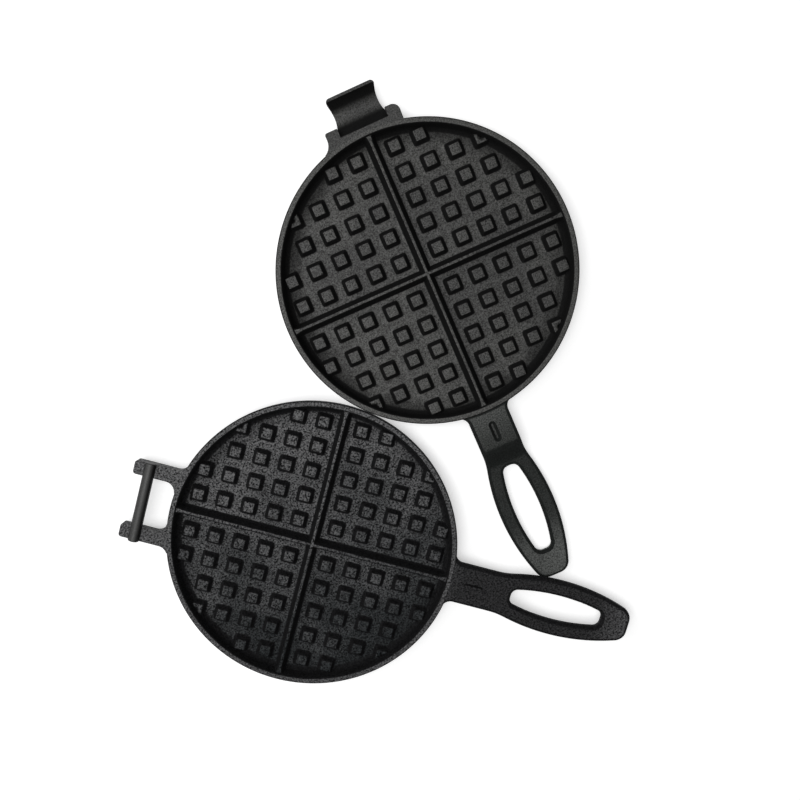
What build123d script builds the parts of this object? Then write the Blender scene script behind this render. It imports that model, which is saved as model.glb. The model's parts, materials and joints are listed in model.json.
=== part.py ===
from build123d import *
import math
import os

# A stovetop waffle iron: two cast-iron halves that hook together at the back.
# Millimetres, +Z up, both halves face up on their flat bases at z = 0.
# The origin is the middle of the hook half's base. Its hinge side is +Y, its handle -Y.
# The fork half has the same layout in its own frame and lies beside it, see FORK_PLACE.

# ---- pan: one round half of the iron ----
RIM_R = 98.0          # outer radius of the rim
RIM_LAND = 3.9        # width of the flat top of the rim
RIM_BAND = 4.5        # height of the upright outer band below the rim's top
PAN_H = 14.5          # base to rim top, which is the face where the halves meet
BASE_IN = 6.0         # rim to the edge of the flat base, seen from above
BASE_ROUND = 4.0      # round between base and outer wall
CAVITY = 9.5          # depth of the batter cavity
WALL_RUN = 1.8        # how far the inner wall leans in on its way down
FLOOR_ROUND = 4.2     # round between inner wall and cavity floor

# ---- grid: pegs and ribs that print the waffle ----
PITCH = 17.4          # peg to peg
FIRST_PEG = 13.1      # centre line of a rib to the first row of pegs
PEG_BASE = 11.0       # width of a peg at the floor
PEG_TOP = 7.6         # width of a peg at its top
PEG_H = 4.2
PEG_KEEP = 6.3        # a peg whose near corner is closer than this to the wall is left out
RIB_BASE = 6.6        # width of a rib at the floor
RIB_TOP = 2.2         # width of a rib at its top
RIB_H = 8.0
RIB_FLARE = 1.4       # extra half-width of a rib's end where it runs into the wall

# ---- handles ----
NECK_W = 28.0
ROOT_ROUND = 6.0      # round where the neck leaves the rim
RING_W = 38.6         # widest place of the ring
RING_OUT = 73.5       # rim to that place
RING_BAND = 10.4      # eye to outer edge
BOW_R = 140.0         # radius of the ring's long sides
BOW_BLEND = 48.0      # hollow round between neck and ring
HANDLE_L = 124.5      # rim to the end of the handle
TIP_ROUND = 8.5
EYE_OUT = 41.3        # rim to the near end of the eye
EYE_L = 63.8
EYE_ROUND = 4.8
EDGE_ROUND = 2.6      # round along the ring's edges
FORK_HANDLE_T = 7.0   # the fork half's handle is flush with its rim and this thick
HOOK_NECK_STEP = 1.0  # the hook half's neck lies this far below its rim
HOOK_NECK_T = 6.5
HOOK_RING_TOP = 7.0   # height of the dropped ring's top face
HOOK_RING_T = 6.2
DROP_OUT = 22.5       # rim to where the neck begins to slope down to the ring
DROP_RUN = 18.0       # length of that slope

# ---- locating key on the fork half's handle and its pocket on the hook half's ----
KEY_OUT = 14.5        # rim to the middle of the key
KEY_L = 12.6
KEY_W = 3.2
KEY_DRAFT = 14.0      # slope of the key's sides, degrees
KEY_REACH = 1.1       # how far the key enters the pocket when the iron is shut
POCKET_GAP = 0.7      # play around the key's foot and below its top
POCKET_DRAFT = 38.0   # slope of the pocket's sides, degrees

# ---- hinge ----
SEAM = 0.10           # gap between the two rims when the iron is shut
BAR_R = 3.75
BAR_OUT = 18.6        # rim to the axis of the bar
BAR_L = 55.0
BAR_FIT = 0.05        # radial clearance of the bar in the arms' seats
BAR_END_ROUND = 0.8
ARM_W = 9.4
ARM_GAP = 35.0        # clear width between the arms
ARM_T = 7.0
ARM_TIP = 10.6        # bar axis to the end of an arm
ARM_ROUND = 2.0
ARM_ROOT_ROUND = 7.0
HOOK_SIDE_PLAY = 1.1  # each side, hook to arm
TROUGH_OUT = 1.6      # rim to the trough's inner edge
TROUGH_W = 22.6       # from there to the inside of the lip
TROUGH_DEPTH = 8.2    # below the rim's top
LIP_T = 2.0           # thickness of the lip at its edge
LIP_RISE = 0.6        # how far the lip stands above the rim's top
LIP_ROUND = 0.5       # round along the lip's top edges
LIP_CORNER = 2.8      # round at each end of the lip, seen from above
TROUGH_T = 4.2        # thickness of the hook under the trough
WAIST = 1.4           # how much narrower each side is at the middle of the trough
EAR_W = 8.6
EAR_T = 9.0
EAR_GAP = 0.3         # ear to arm tip when the hooked halves lie open and flat
EAR_ROUND = 5.0       # outer corner of the ear on the +X side
EAR_ROUND_SMALL = 1.6 # and of the one on the -X side
EAR_ROOT_ROUND = 9.0

# ---- where the fork half lies beside the hook half ----
BESIDE_GAP = 0.4      # between the two rims
FORK_BEARING = 223.2  # direction from the hook half's centre to the fork half's, degrees
FORK_TURN = 51.3      # turn of the fork half about Z, degrees

FLOOR_Z = PAN_H - CAVITY
BASE_R = RIM_R - BASE_IN
RIM_IN = RIM_R - RIM_LAND
FLOOR_R = RIM_IN - WALL_RUN
AXIS_Z = PAN_H + SEAM / 2
RING_MID = RIM_R + RING_OUT         # these run from the centre of the pan
HANDLE_END = RIM_R + HANDLE_L
EYE_START = RIM_R + EYE_OUT
EYE_END = EYE_START + EYE_L
DROP_START = RIM_R + DROP_OUT
DROP_END = DROP_START + DROP_RUN
KEY_AT = RIM_R + KEY_OUT
BAR_AT = RIM_R + BAR_OUT
TROUGH_START = RIM_R + TROUGH_OUT
TROUGH_END = TROUGH_START + TROUGH_W
FORK_BESIDE = 2 * RIM_R + BESIDE_GAP
SAME = 0.01           # two heights this close are one
FORK_PLACE = Location(
    (
        FORK_BESIDE * math.cos(math.radians(FORK_BEARING)),
        FORK_BESIDE * math.sin(math.radians(FORK_BEARING)),
        0,
    ),
    (0, 0, FORK_TURN),
)


def corner(face, x, y):
    """The vertex of a flat sketch nearest to a point."""
    return face.vertices().sort_by_distance((x, y, 0))[0]


def spin(points, rounds):
    """Revolve an outline of (radius, height) points, with its named corners rounded."""
    face = make_face(Polyline(*points, close=True))
    for x, z, radius in rounds:
        face = fillet(corner(face, x, z), radius)
    return revolve(Plane.XZ * face, Axis.Z)


def pan_envelope():
    """The pan as if it were solid up to the rim's top."""
    outline = [(0, 0), (BASE_R, 0), (RIM_R, PAN_H - RIM_BAND), (RIM_R, PAN_H), (0, PAN_H)]
    return spin(outline, [(BASE_R, 0, BASE_ROUND)])


def cavity():
    outline = [(0, FLOOR_Z), (FLOOR_R, FLOOR_Z), (RIM_IN, PAN_H), (0, PAN_H)]
    return spin(outline, [(FLOOR_R, FLOOR_Z, FLOOR_ROUND)])


def taper_of(base, top, height):
    return math.degrees(math.atan((base - top) / 2 / height))


def pegs():
    """Square tapered pegs on a lattice, those at the wall cut to its slope."""
    one = extrude(Rectangle(PEG_BASE, PEG_BASE), PEG_H, taper=taper_of(PEG_BASE, PEG_TOP, PEG_H))
    room = cavity()
    count = int(FLOOR_R / PITCH) + 1
    rows = [FIRST_PEG + PITCH * i for i in range(count)]
    placed = []
    for x in rows:
        for y in rows:
            near = math.hypot(x - PEG_BASE / 2, y - PEG_BASE / 2)
            far = math.hypot(x + PEG_BASE / 2, y + PEG_BASE / 2)
            if near > FLOOR_R - PEG_KEEP:
                continue
            peg = Pos(x, y, FLOOR_Z) * one
            if far > FLOOR_R - FLOOR_ROUND:
                peg = peg & room
            for turn in range(4):
                placed.append(Rot(0, 0, 90 * turn) * peg)
    return placed


def rib_section(x, extra):
    """The sloping-sided section of a rib at x, wider than usual by extra on each side."""
    foot = RIB_BASE / 2 + extra
    top = RIB_TOP / 2 + extra
    face = make_face(Polyline((-foot, 0), (foot, 0), (top, RIB_H), (-top, RIB_H), close=True))
    return Pos(x, 0, 0) * (Plane.YZ * face)


def ribs():
    """Two crossing ribs: one long bar, two half bars, and four ends that spread into the wall."""
    foot_at = FLOOR_R - FLOOR_ROUND
    bar = extrude(rib_section(-foot_at, 0), 2 * foot_at)
    halves = (Rot(0, 0, 90) * bar - bar).solids()
    sections = [(foot_at, 0), (RIM_IN, RIB_FLARE), (RIM_R, RIB_FLARE)]
    end = loft([rib_section(x, extra) for x, extra in sections], ruled=True)
    room = cavity()
    ends = [Pos(0, 0, FLOOR_Z) * Rot(0, 0, 90 * turn) * end & room for turn in range(4)]
    return [Pos(0, 0, FLOOR_Z) * piece for piece in (bar, *halves)] + ends


def pan():
    return pan_envelope() - cavity()


def handle_plan():
    """Neck and bowed ring from above, its neck running on under the rim."""
    reach = BOW_R - RING_W / 2
    lens = Pos(-reach, -RING_MID) * Circle(BOW_R) & Pos(reach, -RING_MID) * Circle(BOW_R)
    ring = lens & Pos(0, -RIM_R) * Rectangle(RING_W + 1, HANDLE_L, align=(Align.CENTER, Align.MAX))
    neck = Pos(0, -(RIM_IN + RING_MID) / 2) * Rectangle(NECK_W, RING_MID - RIM_IN)
    plan = ring + neck
    turn = math.asin((reach + NECK_W / 2) / BOW_R)
    meets = RING_MID - BOW_R * math.cos(turn)
    straight = meets - RIM_R - ROOT_ROUND
    blend = min(BOW_BLEND, straight / math.tan((math.pi / 2 - turn) / 2))
    narrows = math.asin((HANDLE_END - RING_MID) / BOW_R)
    tip_half = BOW_R * math.cos(narrows) - reach
    tip_round = min(TIP_ROUND, 0.95 * tip_half / math.tan((math.pi / 2 - narrows) / 2))
    for side in (1, -1):
        plan = fillet(corner(plan, side * NECK_W / 2, -meets), blend)
        plan = fillet(corner(plan, side * tip_half, -HANDLE_END), tip_round)
    plan = plan + Circle(RIM_R)
    for side in (1, -1):
        plan = fillet(corner(plan, side * NECK_W / 2, -RIM_R), ROOT_ROUND)
    root = Rectangle(NECK_W + 3 * ROOT_ROUND, HANDLE_END, align=(Align.CENTER, Align.MAX))
    return plan & Pos(0, -RIM_IN + 2 * RIM_LAND) * root


def eye_plan():
    radius = BOW_R - RING_BAND
    reach = BOW_R - RING_W / 2
    lens = Pos(-reach, -RING_MID) * Circle(radius) & Pos(reach, -RING_MID) * Circle(radius)
    eye = lens & Pos(0, -(EYE_START + EYE_END) / 2) * Rectangle(RING_W, EYE_END - EYE_START)
    return fillet(eye.vertices(), EYE_ROUND)


def edges_along(solid, z, inside):
    """Edges lying flat at a height whose middle is farther out along the handle than a line."""
    level = solid.edges().filter_by(lambda e: abs(e.center().Z - z) < SAME and e.center().Y < -inside)
    return level.filter_by(lambda e: e.bounding_box().size.Z < SAME)


def fork_handle():
    """Flat handle, flush with the rim, with a small key standing on its neck."""
    blank = extrude(Pos(0, 0, PAN_H - FORK_HANDLE_T) * (handle_plan() - eye_plan()), FORK_HANDLE_T)
    for z in (PAN_H - FORK_HANDLE_T, PAN_H):
        blank = fillet(edges_along(blank, z, EYE_START - RING_BAND), EDGE_ROUND)
    foot = SlotOverall(KEY_L, KEY_W, rotation=90)
    key = Pos(0, -KEY_AT, PAN_H) * extrude(foot, key_height(), taper=KEY_DRAFT)
    return (blank - pan_envelope()) + key


def key_height():
    return SEAM + HOOK_NECK_STEP + KEY_REACH


def hook_side_view():
    """The hook half's handle from the side: a neck that drops to a lower ring."""
    neck_top = PAN_H - HOOK_NECK_STEP
    neck_low = neck_top - HOOK_NECK_T
    ring_low = HOOK_RING_TOP - HOOK_RING_T
    far = HANDLE_END + 1
    top = [Line((0, neck_top), (-DROP_START, neck_top)),
           Spline((-DROP_START, neck_top), (-DROP_END, HOOK_RING_TOP), tangents=((-1, 0), (-1, 0))),
           Line((-DROP_END, HOOK_RING_TOP), (-far, HOOK_RING_TOP))]
    low = [Line((-far, HOOK_RING_TOP), (-far, ring_low)),
           Line((-far, ring_low), (-DROP_END, ring_low)),
           Spline((-DROP_END, ring_low), (-DROP_START, neck_low), tangents=((1, 0), (1, 0))),
           Line((-DROP_START, neck_low), (0, neck_low)),
           Line((0, neck_low), (0, neck_top))]
    return make_face(Wire(top + low))


def hook_handle():
    """Handle whose neck lies a step below the rim, with a pocket for the key."""
    body = extrude(handle_plan() - eye_plan(), PAN_H)
    body = body & extrude(Plane.YZ * hook_side_view(), RING_W, both=True)
    rims = []
    for z in (HOOK_RING_TOP - HOOK_RING_T, HOOK_RING_TOP):
        rims += edges_along(body, z, DROP_END)
    body = fillet(rims, EDGE_ROUND) if rims else body
    mouth = SlotOverall(KEY_L + 2 * POCKET_GAP, KEY_W + 2 * POCKET_GAP, rotation=90)
    pocket = extrude(mouth, KEY_REACH + POCKET_GAP, taper=POCKET_DRAFT)
    pocket = Pos(0, -KEY_AT, PAN_H - HOOK_NECK_STEP) * mirror(pocket, Plane.XY)
    return body - pocket - pan_envelope()


def hook_section():
    """The hook from the side, as (outward, up): a round trough that ends in a lip."""
    middle = (TROUGH_START + TROUGH_END) / 2
    bottom = PAN_H - TROUGH_DEPTH
    under = bottom - TROUGH_T
    inner = ThreePointArc((TROUGH_START, PAN_H), (middle, bottom), (TROUGH_END, PAN_H))
    lean = inner.tangent_at(1)
    lip_in = (TROUGH_END + lean.X / lean.Y * LIP_RISE, PAN_H + LIP_RISE)
    lip_out = (lip_in[0] + LIP_T, lip_in[1])
    rise = PAN_H - under
    run = lip_out[0] - middle
    outer = RadiusArc((middle, under), (lip_out[0], PAN_H), -(run**2 + rise**2) / 2 / rise)
    lines = [
        Line((RIM_IN, PAN_H), (TROUGH_START, PAN_H)),
        inner,
        Line((TROUGH_END, PAN_H), lip_in),
        Line(lip_in, lip_out),
        Line(lip_out, (lip_out[0], PAN_H)),
        outer,
        Line((middle, under), (RIM_IN, under)),
        Line((RIM_IN, under), (RIM_IN, PAN_H)),
    ]
    face = make_face(Wire(lines))
    for point in (lip_in, lip_out):
        face = fillet(corner(face, *point), LIP_ROUND)
    return face


def ear_plan(side, round_by):
    """One ear from above, on the side given by 1 or -1, run on under the rim."""
    inner = ARM_GAP / 2 - HOOK_SIDE_PLAY
    tip = BAR_AT - ARM_TIP - EAR_GAP
    middle = Pos(side * (inner + EAR_W / 2), 0)
    ear = middle * Rectangle(EAR_W, tip, align=(Align.CENTER, Align.MIN))
    ear = fillet(corner(ear, side * (inner + EAR_W), tip), round_by)
    plan = ear + Circle(RIM_R)
    outer = side * (inner + EAR_W)
    plan = fillet(corner(plan, outer, RIM_R), EAR_ROOT_ROUND)
    keep = Rectangle(EAR_W + EAR_ROOT_ROUND, tip - RIM_IN + 3 * RIM_LAND, align=(Align.MIN, Align.MAX))
    keep = Pos(inner, tip) * keep
    return plan & (keep if side > 0 else mirror(keep, Plane.YZ))


def hook_claw():
    """The hook that takes the bar, and an ear on each side of it."""
    half = ARM_GAP / 2 - HOOK_SIDE_PLAY
    trough = extrude(Plane.YZ * hook_section(), half, both=True)
    waist_at = (BAR_AT - ARM_TIP + TROUGH_END) / 2
    run = (TROUGH_END - BAR_AT + ARM_TIP) / 2
    bend = (run**2 + WAIST**2) / 2 / WAIST
    scoop = extrude(Pos(half - WAIST + bend, waist_at) * Circle(bend), PAN_H + LIP_RISE)
    trough = trough - scoop - mirror(scoop, Plane.YZ)
    far = trough.bounding_box().max.Y
    keep = Pos(0, far) * Rectangle(2 * half, far, align=(Align.CENTER, Align.MAX))
    for side in (1, -1):
        keep = fillet(corner(keep, side * half, far), LIP_CORNER)
    trough = trough & extrude(keep, PAN_H + LIP_RISE)
    ears = ear_plan(1, EAR_ROUND) + ear_plan(-1, EAR_ROUND_SMALL)
    ears = extrude(Pos(0, 0, PAN_H - EAR_T) * ears, EAR_T)
    return trough + ears - pan_envelope()


def arm_plan(side):
    inner = ARM_GAP / 2
    outer = inner + ARM_W
    tip = BAR_AT + ARM_TIP
    arm = Pos(side * (inner + ARM_W / 2), 0) * Rectangle(ARM_W, tip, align=(Align.CENTER, Align.MIN))
    for x in (inner, outer):
        arm = fillet(corner(arm, side * x, tip), ARM_ROUND)
    plan = arm + Circle(RIM_R)
    for x in (inner, outer):
        plan = fillet(corner(plan, side * x, RIM_R), ARM_ROOT_ROUND)
    keep = Rectangle(ARM_W + 2 * ARM_ROOT_ROUND, tip - RIM_IN + 3 * RIM_LAND, align=(Align.CENTER, Align.MAX))
    return plan & Pos(side * (inner + ARM_W / 2), tip) * keep


def fork_arms():
    """Two flat arms with a half-round seat across each for the bar."""
    arms = extrude(Pos(0, 0, PAN_H - ARM_T) * (arm_plan(1) + arm_plan(-1)), ARM_T)
    return arms - bar_along(BAR_R + BAR_FIT, BAR_L + 2) - pan_envelope()


def bar_along(radius, length):
    return Pos(0, BAR_AT, AXIS_Z) * Rot(0, 90, 0) * Cylinder(radius, length)


def hinge_bar():
    bar = bar_along(BAR_R, BAR_L)
    return fillet(bar.edges().filter_by(GeomType.CIRCLE), BAR_END_ROUND)


def grid(place=Location()):
    """The ribs and every peg, each a solid that stands on the pan's floor."""
    return Compound([place * piece for piece in (*ribs(), *pegs())])


def main():
    os.makedirs("parts", exist_ok=True)
    nodes = {
        "hook_pan": pan(),
        "hook_grid": grid(),
        "hook_handle": hook_handle(),
        "hook_claw": hook_claw(),
        "fork_pan": FORK_PLACE * pan(),
        "fork_grid": grid(FORK_PLACE),
        "fork_handle": FORK_PLACE * fork_handle(),
        "fork_arms": FORK_PLACE * fork_arms(),
        "hinge_bar": FORK_PLACE * hinge_bar(),
    }
    for name, shape in nodes.items():
        export_step(shape, os.path.join("parts", name + ".step"))


if __name__ == "__main__":
    main()
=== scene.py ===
"""Looks for a cast-iron stovetop waffle iron: two hooked halves lying open beside each other."""

import json
import math

import bmesh
import bpy
from mathutils import Matrix, Vector


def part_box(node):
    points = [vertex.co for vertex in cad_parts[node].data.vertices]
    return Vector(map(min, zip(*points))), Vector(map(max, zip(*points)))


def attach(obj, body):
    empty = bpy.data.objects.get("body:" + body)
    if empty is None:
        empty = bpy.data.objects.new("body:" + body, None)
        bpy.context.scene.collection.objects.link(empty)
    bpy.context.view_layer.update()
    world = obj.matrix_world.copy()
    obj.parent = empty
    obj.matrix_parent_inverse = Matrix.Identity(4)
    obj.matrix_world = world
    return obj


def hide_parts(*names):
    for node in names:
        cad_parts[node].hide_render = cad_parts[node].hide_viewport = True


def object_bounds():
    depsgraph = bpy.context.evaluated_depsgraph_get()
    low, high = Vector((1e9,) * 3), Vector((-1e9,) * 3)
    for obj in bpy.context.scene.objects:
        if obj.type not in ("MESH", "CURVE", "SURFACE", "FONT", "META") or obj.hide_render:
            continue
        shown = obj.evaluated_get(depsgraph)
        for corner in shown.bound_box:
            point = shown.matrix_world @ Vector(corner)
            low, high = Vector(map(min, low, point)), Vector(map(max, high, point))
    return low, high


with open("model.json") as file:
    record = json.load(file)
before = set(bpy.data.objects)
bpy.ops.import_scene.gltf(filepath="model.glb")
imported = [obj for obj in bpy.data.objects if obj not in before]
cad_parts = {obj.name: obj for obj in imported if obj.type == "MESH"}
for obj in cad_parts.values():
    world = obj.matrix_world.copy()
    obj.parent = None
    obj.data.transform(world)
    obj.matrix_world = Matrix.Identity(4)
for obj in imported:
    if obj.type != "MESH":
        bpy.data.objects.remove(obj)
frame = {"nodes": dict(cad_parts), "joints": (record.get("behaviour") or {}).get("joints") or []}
cad_low, cad_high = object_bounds()

MM = 0.001

# ---- pan, as cast ----
RIM_LAND = 3.9 * MM       # flat top of the rim
RIM_BAND = 4.5 * MM       # upright band below the rim's top
BASE_INSET = 6.0 * MM     # how far the base circle lies inside the rim
BASE_ROUND = 4.0 * MM
WALL_RUN = 1.8 * MM       # how far the inner wall leans in
FLOOR_ROUND = 4.2 * MM
RIM_ROUND = 1.1 * MM      # worn edges of the rim
BAND_ROUND = 1.2 * MM
FLOOR_LAP = 8.0 * MM      # width of the casting's floor that dips under the waffle field
FLOOR_DIP = 0.25 * MM
ROUND_SEGMENTS = 6
TURN_STEPS = 288
SPIN_WELD = 0.01 * MM     # joins the points where the turned section meets its own axis

# ---- handles, hook and arms ----
EDGE_WEAR = 0.45 * MM     # round on the sharp edges
EDGE_SEGMENTS = 3
SHARP_ANGLE = math.radians(32)
FLAT_ANGLE = math.radians(1)
NODE_WELD = 0.002 * MM
JOINT_REACH = 0.05 * MM   # points this near to the rim's side belong to the joint with the pan

# ---- waffle field ----
PITCH = 17.4 * MM
FIRST_PEG = 13.1 * MM
PEG_ROWS = 5              # on each side of a rib
PEG_H = 4.2 * MM
PEG_KEEP = 6.3 * MM       # a peg is left out where its inner corner is nearer to the wall
PEG_HALF = 5.5 * MM       # half width of a peg at the floor
CORNER_POWER = 9.0        # squareness of a peg seen from above
RIB_FOOT = 4.1 * MM       # half width of a rib at the floor
RIB_FLARE = 1.7 * MM
FLARE_RUN = 5.2 * MM
FIELD_SINK = 0.3 * MM     # the field's underside lies this far inside the casting
FIELD_MARGIN = 1.3 * MM   # and its edge this far under the wall
RIB_MARGIN = 2.2 * MM
RIB_STEP = 1.1 * MM       # spacing of the grid lines where a rib spreads into the wall
RIB_END_LINES = 5

# Half sections as (distance from the middle in mm, share of the height).
PEG_SECTION = [(0, 1), (2.3, 1), (3.2, 0.995), (3.55, 0.965), (3.8, 0.885), (4.0, 0.77), (4.95, 0.24),
               (5.25, 0.14), (5.6, 0.055), (6.1, 0.012), (6.6, 0)]
RIB_SECTION = [(0, 1), (0.55, 0.998), (0.95, 0.985), (1.2, 0.95), (1.42, 0.88), (2.2, 0.52), (2.9, 0.2),
               (3.2, 0.1), (3.55, 0.04), (4.1, 0), (4.8, 0), (5.6, 0), (6.4, 0)]

OUTWARD_ROWS = [FIRST_PEG + PITCH * row for row in range(PEG_ROWS)]
PEG_MIDDLES = [-row for row in reversed(OUTWARD_ROWS)] + OUTWARD_ROWS

# ---- cast skin ----
# Bands as (from, to): upward parts of the normal, distances from a half's middle, or heights.
SLOPE_SHADE_BAND = (0.84, 0.99528)             # painted shade: black below it, the colour of level iron above
HANDLE_SLOPE_SHADE_BAND = (0.97, 1.00074)      # the same where the rounds are smaller
STEEP_BAND = (0.1, 0.35)
PAST_WALL = (94.6 * MM, 95.0 * MM)       # beyond the inner wall lie the outer sides
UNDER_FLOOR = (4.4 * MM, 4.7 * MM)       # and below the floor the underside
FLANK_LEVEL = 0.8                        # how far the outer sides count as level, so the painted shade is weaker there
RIM_TOP = (13.7 * MM, 14.1 * MM)         # the rubbed colour begins here
NEAR_WALL = (92 * MM, 105 * MM)          # painted shade thickens towards the wall
SHADE_STRAY = 26 * MM                     # how far the clouds move that painted shade inwards
# painted shade at the foot of the wall
WALL_FOOT = (88.6 * MM, 91.0 * MM)
PEG_TOPS = (8.3 * MM, 8.9 * MM)          # no painted floor shade above
STEP_R = 98.2 * MM                       # the step where a handle or the hook leaves the rim, where a painted shadow lies
STEP_WIDTH = (0.5 * MM, 1.3 * MM)
STEP_TOP = (13.8 * MM, 14.2 * MM)
STEP_SHADE = 0.95
RING_RISE = 45 * MM                      # length over which the darker span along a handle sets in
RING_FALL = 25 * MM                      # and ends
CLOUD_SIZE = 38 * MM
SWELL_SIZE = 7 * MM                      # slow unevenness of the cast skin
SWELL_DEPTH = 0.15 * MM
GRAIN_RAGGED = 0.7                       # share that each finer layer of the grain keeps
NOISE_MIDDLE = 0.5
ROUGH_BAND = (0.3, 0.7)                  # grain from pits to tops
PIT_ROUGHER = 0.12
TOP_SMOOTHER = 0.1
SHADE_GRAIN = 0.7                         # how much of the grain shows in the painted black shade
# roughness and specular level under the painted shade
SHADE_ROUGHNESS = 0.9
SHADE_SHINE = 0.1
GRAIN_GLINT = 0.75

# ---- drawn bar ----
BAR_SLOPE_SHADE_BAND = (0.6, 0.98)             # painted shade, black, on the sides below it; a painted lighter top above
BAR_LINE_WIDTH = 0.6 * MM
BAR_LINE_STRETCH = 0.06                  # scale of the noise along the bar, for long lines
BAR_LINE_DEPTH = 0.03 * MM

# ---- white sweep and light ----
FLOOR_REACH = 6.0                        # half the floor's width in metres
FLOOR_DROP = 0.02 * MM
FLOOR_GLOW = (0.45, 1.0)                 # glow beside the object and far from it
GLOW_BAND = (0.5, 1.6)                   # metres from the object
WORLD_LIGHT = 0.2                        # the world's strength for all but the camera


# ------------------------------------------------------------------ small helpers
def half_frame(pan_node, turn):
    """Matrix from a half's own axes (hinge +Y, handle -Y) to the frame."""
    low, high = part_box(pan_node)
    middle = (low + high) / 2
    return Matrix.Translation((middle.x, middle.y, 0)) @ Matrix.Rotation(turn, 4, "Z")


def pan_radius(half):
    low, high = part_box(half + "_pan")
    return (high.x - low.x) / 2


def finish_mesh(bm, name, body, replaced, material, place):
    """Turn a bmesh in a half's own axes into a piece that stands for CAD nodes."""
    bmesh.ops.transform(bm, matrix=place, verts=bm.verts)
    bmesh.ops.recalc_face_normals(bm, faces=bm.faces)
    mesh = bpy.data.meshes.new(name)
    bm.to_mesh(mesh)
    bm.free()
    mesh.shade_smooth()
    mesh.materials.append(material)
    piece = bpy.data.objects.new(name, mesh)
    bpy.context.scene.collection.objects.link(piece)
    weighted = piece.modifiers.new("flat_faces_first", "WEIGHTED_NORMAL")
    weighted.keep_sharp = True
    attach(piece, body)
    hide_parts(*replaced)


def section_at(section, distance):
    """Height share of a half section at a distance, straight between its points."""
    for (near, high), (far, low) in zip(section, section[1:]):
        if distance <= far * MM:
            return high + (low - high) * (distance / MM - near) / (far - near)
    return 0.0


# ------------------------------------------------------------------ pan
def pan_section(bm, rim_r, pan_h, floor_z):
    """The pan's section as a wire from the middle of the base to the floor at the inner wall."""
    base_r = rim_r - BASE_INSET
    rim_in = rim_r - RIM_LAND
    floor_r = rim_in - WALL_RUN
    under = floor_z - FLOOR_DIP
    corners = [  # distance from the axis, height, round
        (0, 0, None),
        (base_r, 0, BASE_ROUND),
        (rim_r, pan_h - RIM_BAND, BAND_ROUND),
        (rim_r, pan_h, RIM_ROUND),
        (rim_in, pan_h, RIM_ROUND),
        (floor_r, floor_z, FLOOR_ROUND),
        (floor_r - FLOOR_ROUND - FLOOR_LAP, under, None),
        (0, under, None),
    ]
    points = [Vector((r, z)) for r, z, _ in corners]
    verts = [bm.verts.new((r, 0, z)) for r, z, _ in corners]
    for start, end in zip(verts, verts[1:]):
        bm.edges.new((start, end))
    for index, (_, _, radius) in enumerate(corners):
        if radius is None:
            continue
        before = points[index] - points[index - 1]
        after = points[index + 1] - points[index]
        setback = radius * math.tan(before.angle(after) / 2)
        bmesh.ops.bevel(bm, geom=[verts[index]], offset=setback, offset_type="OFFSET",
                        segments=ROUND_SEGMENTS, profile=0.5, affect="VERTICES", material=-1)


def cast_pan(bm, rim_r, pan_h, floor_z):
    pan_section(bm, rim_r, pan_h, floor_z)
    bmesh.ops.spin(bm, geom=bm.verts[:] + bm.edges[:], cent=(0, 0, 0), axis=(0, 0, 1),
                   angle=math.tau, steps=TURN_STEPS, use_merge=True)
    bmesh.ops.remove_doubles(bm, verts=bm.verts, dist=SPIN_WELD)


# ------------------------------------------------------------------ waffle field
def field_lines(reach):
    """Grid lines across one axis: close together where a peg or a rib rises."""
    lines = {0.0, reach, -reach}
    for offset, _ in RIB_SECTION:
        lines |= {offset * MM, -offset * MM}
    for middle in PEG_MIDDLES:
        lines |= {middle + side * offset * MM for offset, _ in PEG_SECTION for side in (1, -1)}
    for step in range(RIB_END_LINES):
        lines |= {reach - RIB_STEP * step, RIB_STEP * step - reach}
    for row in range(1, PEG_ROWS):
        between = FIRST_PEG + PITCH * (row - 0.5)
        lines |= {between, -between}
    return sorted(line for line in lines if abs(line) <= reach)


def peg_height(x, y, floor_r):
    """Height share of the peg nearest to a point."""
    near_x = min(PEG_MIDDLES, key=lambda m: abs(m - x))
    near_y = min(PEG_MIDDLES, key=lambda m: abs(m - y))
    if math.hypot(abs(near_x) - PEG_HALF, abs(near_y) - PEG_HALF) > floor_r - PEG_KEEP:
        return 0.0
    dx = abs(x - near_x)
    dy = abs(y - near_y)
    far = (dx ** CORNER_POWER + dy ** CORNER_POWER) ** (1 / CORNER_POWER)
    return section_at(PEG_SECTION, far)


def rib_height(across, along, floor_r):
    """Height share of a rib that spreads where it runs into the wall."""
    run = min(max((along - floor_r - WALL_RUN + FLARE_RUN) / FLARE_RUN, 0.0), 1.0)
    spread = RIB_FLARE * run * run
    return section_at(RIB_SECTION, max(across - spread, 0.0))


def waffle_field(bm, floor_r, floor_z, rib_h):
    """Pegs and ribs as one cast face: a grid whose lines follow them, lifted into shape."""
    reach = floor_r + RIB_MARGIN
    lines = field_lines(reach)
    steps = len(lines) - 1
    grid = bmesh.ops.create_grid(bm, x_segments=steps, y_segments=steps, size=steps / 2)["verts"]
    for vert in grid:
        x, y = (lines[round(c + steps / 2)] for c in vert.co.xy)
        pegs = PEG_H * peg_height(x, y, floor_r)
        ribs = rib_h * max(rib_height(abs(x), abs(y), floor_r), rib_height(abs(y), abs(x), floor_r))
        vert.co = (x, y, floor_z + max(pegs, ribs))
    outside = []
    for face in bm.faces:
        middle = face.calc_center_median()
        in_rib = min(abs(middle.x), abs(middle.y)) < RIB_FOOT
        if middle.xy.length > floor_r + (RIB_MARGIN if in_rib else FIELD_MARGIN):
            outside.append(face)
    bmesh.ops.delete(bm, geom=outside, context="FACES")
    edge = [e for e in bm.edges if e.is_boundary]
    skirt = bmesh.ops.extrude_edge_only(bm, edges=edge)["geom"]
    for vert in (g for g in skirt if isinstance(g, bmesh.types.BMVert)):
        vert.co.z = floor_z - FIELD_SINK
    bmesh.ops.edgeloop_fill(bm, edges=[e for e in bm.edges if e.is_boundary])


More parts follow.
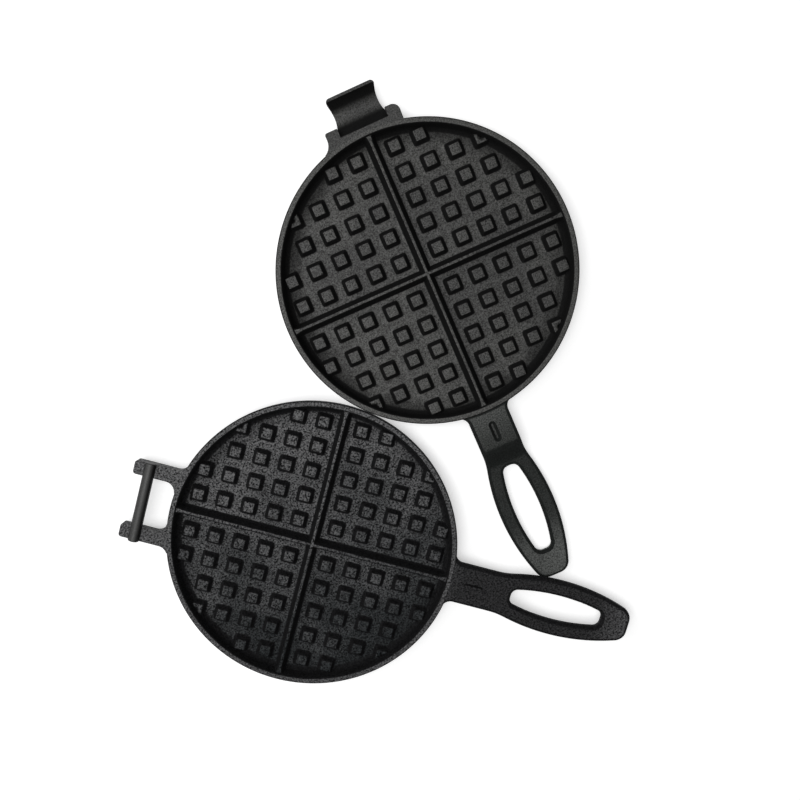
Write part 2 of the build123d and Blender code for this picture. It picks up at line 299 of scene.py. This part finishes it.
def cast_half_face(half, place, material):
    """One half's pan and the waffle face in it, in the place of its two CAD nodes."""
    body = half + "_half"
    pan_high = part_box(half + "_pan")[1]
    grid_low, grid_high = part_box(half + "_grid")
    rim_r = pan_radius(half)
    floor_r = rim_r - RIM_LAND - WALL_RUN
    shell = bmesh.new()
    cast_pan(shell, rim_r, pan_high.z, grid_low.z)
    finish_mesh(shell, body + "_pan_casting", body, [half + "_pan"], material, place)
    field = bmesh.new()
    waffle_field(field, floor_r, grid_low.z, grid_high.z - grid_low.z)
    finish_mesh(field, body + "_waffle_face", body, [half + "_grid"], material, place)


# ------------------------------------------------------------------ handles, hook and arms
def worn_casting(half, feature, place, material):
    """A merged copy of a CAD node with worn edges, drawn in under the rim's round at the pan."""
    node_name = half + "_" + feature
    rim_r = pan_radius(half)
    bm = bmesh.new()
    bm.from_mesh(frame["nodes"][node_name].data)
    bmesh.ops.transform(bm, matrix=place.inverted(), verts=bm.verts)
    bmesh.ops.remove_doubles(bm, verts=bm.verts, dist=NODE_WELD)
    bmesh.ops.dissolve_limit(bm, angle_limit=FLAT_ANGLE, verts=bm.verts, edges=bm.edges)
    joint = [v for v in bm.verts if v.co.xy.length < rim_r + JOINT_REACH]
    for vert in joint:
        vert.co.xy *= (vert.co.xy.length - RIM_ROUND) / vert.co.xy.length
    buried = set(joint)
    sharp = [e for e in bm.edges if e.is_manifold and e.calc_face_angle() > SHARP_ANGLE
             and not buried.issuperset(e.verts)]
    bmesh.ops.bevel(bm, geom=sharp, offset=EDGE_WEAR, offset_type="OFFSET", segments=EDGE_SEGMENTS,
                    profile=0.5, affect="EDGES", clamp_overlap=True, material=-1)
    finish_mesh(bm, node_name + "_casting", half + "_half", [node_name], material, place)


# ------------------------------------------------------------------ shader nodes
def linear(hex_colour):
    """sRGB hex to the linear RGBA that shaders take."""
    parts = [int(hex_colour[i:i + 2], 16) / 255 for i in (1, 3, 5)]
    return tuple(p / 12.92 if p <= 0.04045 else ((p + 0.055) / 1.055) ** 2.4 for p in parts) + (1.0,)


def node(tree, kind, inputs=None, **settings):
    """Add a node; inputs are values or output sockets, keyed by socket name or number."""
    made = tree.nodes.new(kind)
    for key, value in settings.items():
        setattr(made, key, value)
    for key, value in (inputs or {}).items():
        if isinstance(value, bpy.types.NodeSocket):
            tree.links.new(value, made.inputs[key])
        else:
            made.inputs[key].default_value = value
    return made


def maths(tree, operation, *values, clamp=False):
    """Output of a maths node over numbers or sockets."""
    made = node(tree, "ShaderNodeMath", dict(enumerate(values)), operation=operation, use_clamp=clamp)
    return made.outputs[0]


def fade(tree, value, band, ends=(0.0, 1.0), smooth=False):
    """Output that runs from one end to the other while a value crosses a band."""
    made = node(tree, "ShaderNodeMapRange",
                {"Value": value, "From Min": band[0], "From Max": band[1],
                 "To Min": ends[0], "To Max": ends[1]},
                interpolation_type="SMOOTHSTEP" if smooth else "LINEAR")
    return made.outputs[0]


def colour_mix(tree, share, first, second, blend="MIX"):
    made = node(tree, "ShaderNodeMix", {0: share, 6: first, 7: second}, data_type="RGBA",
                blend_type=blend)
    return made.outputs[2]


def value_mix(tree, share, first, second):
    made = node(tree, "ShaderNodeMix", {0: share, 2: first, 3: second}, data_type="FLOAT")
    return made.outputs[0]


def noise(tree, point, size, detail, ragged=0.5):
    """Output of a noise around one half, with lumps of about the size given."""
    made = node(tree, "ShaderNodeTexNoise",
                {"Vector": point, "Scale": 1 / size, "Detail": detail, "Roughness": ragged})
    return made.outputs[0]


def dot(tree, first, second):
    made = node(tree, "ShaderNodeVectorMath", {0: first, 1: second}, operation="DOT_PRODUCT")
    return made.outputs["Value"]


def length(tree, vector):
    made = node(tree, "ShaderNodeVectorMath", {0: vector}, operation="LENGTH")
    return made.outputs["Value"]


def new_material(name):
    material = bpy.data.materials.new(name)
    material.use_nodes = True
    material.node_tree.nodes.clear()
    return material, material.node_tree


def set_surface(tree, shader):
    node(tree, "ShaderNodeOutputMaterial", {"Surface": shader.outputs[0]})


# ------------------------------------------------------------------ materials
def shade_and_darkening_mask(tree, radius, height, clouds, outer, flank, near_wall_shade, dark_handle_span):
    """Share of painted shade on level iron: by the wall and at its foot, and a painted shadow in
    the step below the rim; where a span is given as (from, to, share), darker along a handle."""
    # painted shade towards the wall and at its foot
    ragged = maths(tree, "MULTIPLY_ADD", clouds, SHADE_STRAY, radius)
    near_wall = fade(tree, ragged, NEAR_WALL, (0.0, near_wall_shade), smooth=True)
    at_foot = fade(tree, radius, WALL_FOOT, smooth=True)
    below_pegs = fade(tree, height, PEG_TOPS, (1.0, 0.0))
    in_pan = maths(tree, "SUBTRACT", 1.0, outer)
    on_floor = maths(tree, "MAXIMUM", near_wall, at_foot)
    on_floor = maths(tree, "MULTIPLY", on_floor, below_pegs)
    on_floor = maths(tree, "MULTIPLY", on_floor, in_pan)

    # painted shadow in the step below the rim
    off_step = maths(tree, "ABSOLUTE", maths(tree, "SUBTRACT", radius, STEP_R))
    at_step = fade(tree, off_step, STEP_WIDTH, (STEP_SHADE, 0.0))
    below_rim = fade(tree, height, STEP_TOP, (1.0, 0.0))
    in_step = maths(tree, "MULTIPLY", at_step, below_rim)
    in_step = maths(tree, "SUBTRACT", in_step, flank, clamp=True)

    shade_and_darkening = maths(tree, "MAXIMUM", on_floor, in_step)
    # darker along a span of the handle
    if dark_handle_span:
        start, end, share = dark_handle_span
        rise = fade(tree, radius, (start, start + RING_RISE), (0.0, share))
        fall = fade(tree, radius, (end - RING_FALL, end), (share, 0.0))
        shade_and_darkening = maths(tree, "MAXIMUM", shade_and_darkening, maths(tree, "MINIMUM", rise, fall))
    return shade_and_darkening


def sand_cast_iron(name, middle, top, oiled_and_shaded, rubbed_and_lit, wall, grain_size, grain_depth, grain_mix,
                   grain_span, roughness, near_wall_shade, slope_shade_band=SLOPE_SHADE_BAND, lean=0.0,
                   shade_side=(0, 0), oil_and_shade_span=0.1, oil_and_shade_dull=0.1, dark_handle_span=None):
    """Grey iron cast in green sand and baked black with oil: a fine pitted grain with a satin
    skin. Painted shade: level faces take the grey, while the steep walls and the corners of the
    waffle face are painted black, as are a band by the wall, its foot and the step below the rim;
    a given span along a handle is darker too. The oil lies in clouds, and a painted shade makes
    the iron darker and duller towards one side; the rims have rubbed each other lighter. The
    grain is drawn about twice as coarse as the sand, so that it shows from half a metre away.
    Colours: top between the clouds of oil, the oiled colour under them and on the shaded side,
    the rubbed colour on the rim, the wall colour for the painted black shade and darker span."""
    material, tree = new_material(name)
    coords = node(tree, "ShaderNodeTexCoord")
    point = coords.outputs["Object"]
    height = node(tree, "ShaderNodeSeparateXYZ", {0: point}).outputs["Z"]
    outward = node(tree, "ShaderNodeMapping",
                   {"Vector": point, "Location": (-middle.x, -middle.y, 0), "Scale": (1, 1, 0)}).outputs[0]
    radius = length(tree, outward)

    # painted shade by slope: steep faces take the black wall colour, less so on the outer sides and
    # underneath
    upward = dot(tree, coords.outputs["Normal"], (0, -math.sin(lean), math.cos(lean)))
    steep = fade(tree, upward, STEEP_BAND, (1.0, 0.0))
    past_wall = fade(tree, radius, PAST_WALL)
    underneath = fade(tree, height, UNDER_FLOOR, (1.0, 0.0))
    outer = maths(tree, "MAXIMUM", past_wall, underneath)
    flank = maths(tree, "MULTIPLY", steep, outer)
    lit_flank = maths(tree, "MULTIPLY", flank, FLANK_LEVEL)
    level = fade(tree, upward, slope_shade_band, smooth=True)
    level = maths(tree, "MAXIMUM", level, lit_flank)

    clouds = noise(tree, point, CLOUD_SIZE, 3.0)
    grain = noise(tree, point, grain_size, 3.0, GRAIN_RAGGED)
    swell = noise(tree, point, SWELL_SIZE, 2.0)
    # oil clouds, plus a painted shade darker towards one side
    spread = maths(tree, "ADD", clouds, dot(tree, outward, (*shade_side, 0)))
    oil_and_shade = fade(tree, spread, (NOISE_MIDDLE - oil_and_shade_span, NOISE_MIDDLE + oil_and_shade_span))
    tint = colour_mix(tree, oil_and_shade, linear(top), linear(oiled_and_shaded))
    tint = colour_mix(tree, fade(tree, height, RIM_TOP), tint, linear(rubbed_and_lit))
    grain_band = (NOISE_MIDDLE - grain_span, NOISE_MIDDLE + grain_span)
    speck = fade(tree, grain, grain_band, (1 - grain_mix, 1 + grain_mix))
    specked = colour_mix(tree, 1.0, tint, speck, "MULTIPLY")

    # painted shade by the wall, at its foot and in the step below the rim, and a darker span along a
    # handle
    shade_and_darkening = shade_and_darkening_mask(tree, radius, height, clouds, outer, flank, near_wall_shade, dark_handle_span)
    shade_black = colour_mix(tree, SHADE_GRAIN, linear(wall), speck, "MULTIPLY")
    darkened_colour = colour_mix(tree, shade_and_darkening, specked, shade_black)
    colour = colour_mix(tree, level, shade_black, darkened_colour)

    not_darkened = maths(tree, "SUBTRACT", 1.0, shade_and_darkening)
    level_not_darkened = maths(tree, "MULTIPLY", level, not_darkened)
    rough = fade(tree, grain, ROUGH_BAND, (roughness + PIT_ROUGHER, roughness - TOP_SMOOTHER))
    dull = value_mix(tree, level_not_darkened, SHADE_ROUGHNESS, rough)
    glint = fade(tree, grain, grain_band, (0.0, GRAIN_GLINT))
    # less satin under the oil and on the side with painted shade
    satin = maths(tree, "MULTIPLY_ADD", oil_and_shade, -oil_and_shade_dull, 1.0)
    satin = maths(tree, "MULTIPLY", satin, level_not_darkened)
    shine = value_mix(tree, satin, SHADE_SHINE, glint)

    coarse = node(tree, "ShaderNodeBump", {"Strength": 1.0, "Distance": SWELL_DEPTH, "Height": swell})
    fine = node(tree, "ShaderNodeBump", {"Strength": 1.0, "Distance": grain_depth, "Height": grain,
                                         "Normal": coarse.outputs[0]})
    set_surface(tree, node(tree, "ShaderNodeBsdfPrincipled",
                           {"Base Color": colour, "Roughness": dull, "Normal": fine.outputs[0],
                            "Specular IOR Level": shine}))
    return material


def blackened_steel_bar(turn):
    """Drawn round bar, blackened by heat and oil: smooth, with faint lines along it, with a
    painted lighter top and painted black shade down its sides."""
    material, tree = new_material("blackened_drawn_steel")
    coords = node(tree, "ShaderNodeTexCoord")
    upward = node(tree, "ShaderNodeSeparateXYZ", {0: coords.outputs["Normal"]}).outputs["Z"]
    # painted light on top, painted shade down the sides
    level = fade(tree, upward, BAR_SLOPE_SHADE_BAND, smooth=True)
    along = node(tree, "ShaderNodeMapping", {"Vector": coords.outputs["Object"], "Rotation": (0, 0, -turn),
                                             "Scale": (BAR_LINE_STRETCH, 1, 1)})
    lines = noise(tree, along.outputs[0], BAR_LINE_WIDTH, 3.0)
    rubbed_and_lit = colour_mix(tree, lines, linear("#343434"), linear("#4e4e4d"))
    colour = colour_mix(tree, level, linear("#0b0b0b"), rubbed_and_lit)
    bump = node(tree, "ShaderNodeBump", {"Strength": 0.6, "Distance": BAR_LINE_DEPTH, "Height": lines})
    set_surface(tree, node(tree, "ShaderNodeBsdfPrincipled",
                           {"Base Color": colour, "Roughness": 0.48, "Metallic": 0.35,
                            "Normal": bump.outputs[0]}))
    return material


def white_sweep():
    """Matt white paper: white to the eye, with the object's soft shadow left in."""
    material, tree = new_material("white_paper_sweep")
    path = node(tree, "ShaderNodeLightPath")
    seen = maths(tree, "MAXIMUM", path.outputs["Is Camera Ray"], path.outputs["Is Glossy Ray"])
    seen = maths(tree, "MAXIMUM", seen, path.outputs["Is Transmission Ray"])
    away = length(tree, node(tree, "ShaderNodeTexCoord").outputs["Object"])
    glow = maths(tree, "MULTIPLY", seen, fade(tree, away, GLOW_BAND, FLOOR_GLOW))
    paper = node(tree, "ShaderNodeBsdfDiffuse", {"Color": linear("#e6e6e6")})
    emission = node(tree, "ShaderNodeEmission", {"Color": linear("#ffffff"), "Strength": glow})
    set_surface(tree, node(tree, "ShaderNodeAddShader", {0: paper.outputs[0], 1: emission.outputs[0]}))
    return material


# ------------------------------------------------------------------ floor, light, camera
def stage_floor():
    bm = bmesh.new()
    bmesh.ops.create_grid(bm, x_segments=4, y_segments=4, size=FLOOR_REACH)
    bmesh.ops.translate(bm, verts=bm.verts, vec=(0, 0, -FLOOR_DROP))
    mesh = bpy.data.meshes.new("floor")
    bm.to_mesh(mesh)
    bm.free()
    mesh.materials.append(white_sweep())
    floor = bpy.data.objects.new("floor", mesh)
    bpy.context.scene.collection.objects.link(floor)


def soft_light(name, place, aim, size, watts):
    light = bpy.data.lights.new(name, "AREA")
    light.shape = "SQUARE"
    light.size = size
    light.energy = watts
    lamp = bpy.data.objects.new(name, light)
    lamp.location = place
    lamp.rotation_euler = (Vector(aim) - Vector(place)).to_track_quat("-Z", "Y").to_euler()
    bpy.context.scene.collection.objects.link(lamp)


def studio_world():
    """White to the camera, and a weak white light from all around."""
    world = bpy.data.worlds.new("studio")
    world.use_nodes = True
    tree = world.node_tree
    path = node(tree, "ShaderNodeLightPath")
    strength = fade(tree, path.outputs["Is Camera Ray"], (0.0, 1.0), (WORLD_LIGHT, 1.0))
    sky = tree.nodes["Background"]
    sky.inputs["Color"].default_value = linear("#ffffff")
    tree.links.new(strength, sky.inputs["Strength"])
    bpy.context.scene.world = world


def overhead_camera():
    """The camera looks down almost upright, turned so the two handles point right."""
    place = Vector((-22.5, -7.4, 535.3)) * MM
    aim = Vector((-49.4, -68.5, 9.2)) * MM
    up = Vector((0.402, 0.916, 0))
    back = (place - aim).normalized()
    right = up.cross(back).normalized()
    data = bpy.data.cameras.new("camera")
    data.lens = 36
    data.sensor_width = 36
    data.clip_start = 0.01
    camera = bpy.data.objects.new("camera", data)
    turned = Matrix((right, back.cross(right), back)).transposed()
    camera.matrix_world = Matrix.Translation(place) @ turned.to_4x4()
    bpy.context.scene.collection.objects.link(camera)
    bpy.context.scene.camera = camera


# ------------------------------------------------------------------ build
close_axis = Vector(next(j for j in frame["joints"] if j["name"] == "close")["axis"])
fork_turn = math.atan2(-close_axis.y, -close_axis.x)
hook_place = half_frame("hook_pan", 0.0)
fork_place = half_frame("fork_pan", fork_turn)

# The hook half is the smoother casting; the fork half is coarser, with oil clouds and a painted shade
# darker towards one side.
smooth = {"middle": hook_place.translation, "oiled_and_shaded": "#2f2f2e", "rubbed_and_lit": "#3d3d3b", "wall": "#121212",
          "grain_size": 0.9 * MM, "grain_depth": 0.16 * MM, "grain_mix": 1.0, "grain_span": 0.25,
          "roughness": 0.5, "near_wall_shade": 0.5}
# lean moves the painted shade in the hook towards the rim side of its trough
in_the_hook = smooth | {"rubbed_and_lit": "#2f2f2e", "grain_mix": 0.6, "lean": math.radians(8)}
# the handle is darker along a span
on_hook_handle = smooth | {"oiled_and_shaded": "#3e403e", "wall": "#1c1e1d", "slope_shade_band": HANDLE_SLOPE_SHADE_BAND,
                           "dark_handle_span": (88 * MM, 205 * MM, 0.76)}
coarse = {"middle": fork_place.translation, "rubbed_and_lit": "#3e3e3f", "wall": "#161617",
          "grain_size": 1.2 * MM, "grain_depth": 0.45 * MM, "grain_mix": 1.0, "grain_span": 0.13,
          "roughness": 0.46, "near_wall_shade": 0.3}
# painted shade towards one side of the fork's pan
on_fork_pan = coarse | {"shade_side": (-1.0, -4.1), "oil_and_shade_span": 0.3, "oil_and_shade_dull": 0.55}
on_fork_handle = coarse | {"slope_shade_band": HANDLE_SLOPE_SHADE_BAND, "dark_handle_span": (60 * MM, 222 * MM, 0.76)}

smooth_iron = sand_cast_iron("sand_cast_iron_smooth", top="#373735", **smooth)
hook_handle_iron = sand_cast_iron("sand_cast_iron_darkened_handle", top="#464846", **on_hook_handle)
claw_iron = sand_cast_iron("sand_cast_iron_in_the_hook", top="#363634", **in_the_hook)
coarse_iron = sand_cast_iron("sand_cast_iron_coarse", top="#3a3a3b", oiled_and_shaded="#111517", **on_fork_pan)
fork_handle_iron = sand_cast_iron("sand_cast_iron_coarse_handle", top="#2d2d2e", oiled_and_shaded="#232629",
                                  **on_fork_handle)
steel = blackened_steel_bar(fork_turn)

cast_half_face("hook", hook_place, smooth_iron)
cast_half_face("fork", fork_place, coarse_iron)
worn_casting("hook", "handle", hook_place, hook_handle_iron)
worn_casting("hook", "claw", hook_place, claw_iron)
worn_casting("fork", "handle", fork_place, fork_handle_iron)
worn_casting("fork", "arms", fork_place, coarse_iron)
for held in frame["nodes"]["hinge_bar"].material_slots:
    held.material = steel

stage_floor()
part_middle = (cad_low + cad_high) / 2
soft_light("overhead_softbox", place=(-0.36, 0.02, 1.5), aim=part_middle, size=1.1, watts=15)
soft_light("window_side", place=(-0.75, 0.75, 0.9), aim=part_middle, size=0.7, watts=5)
studio_world()
bpy.context.scene.view_settings.view_transform = "Standard"
overhead_camera()
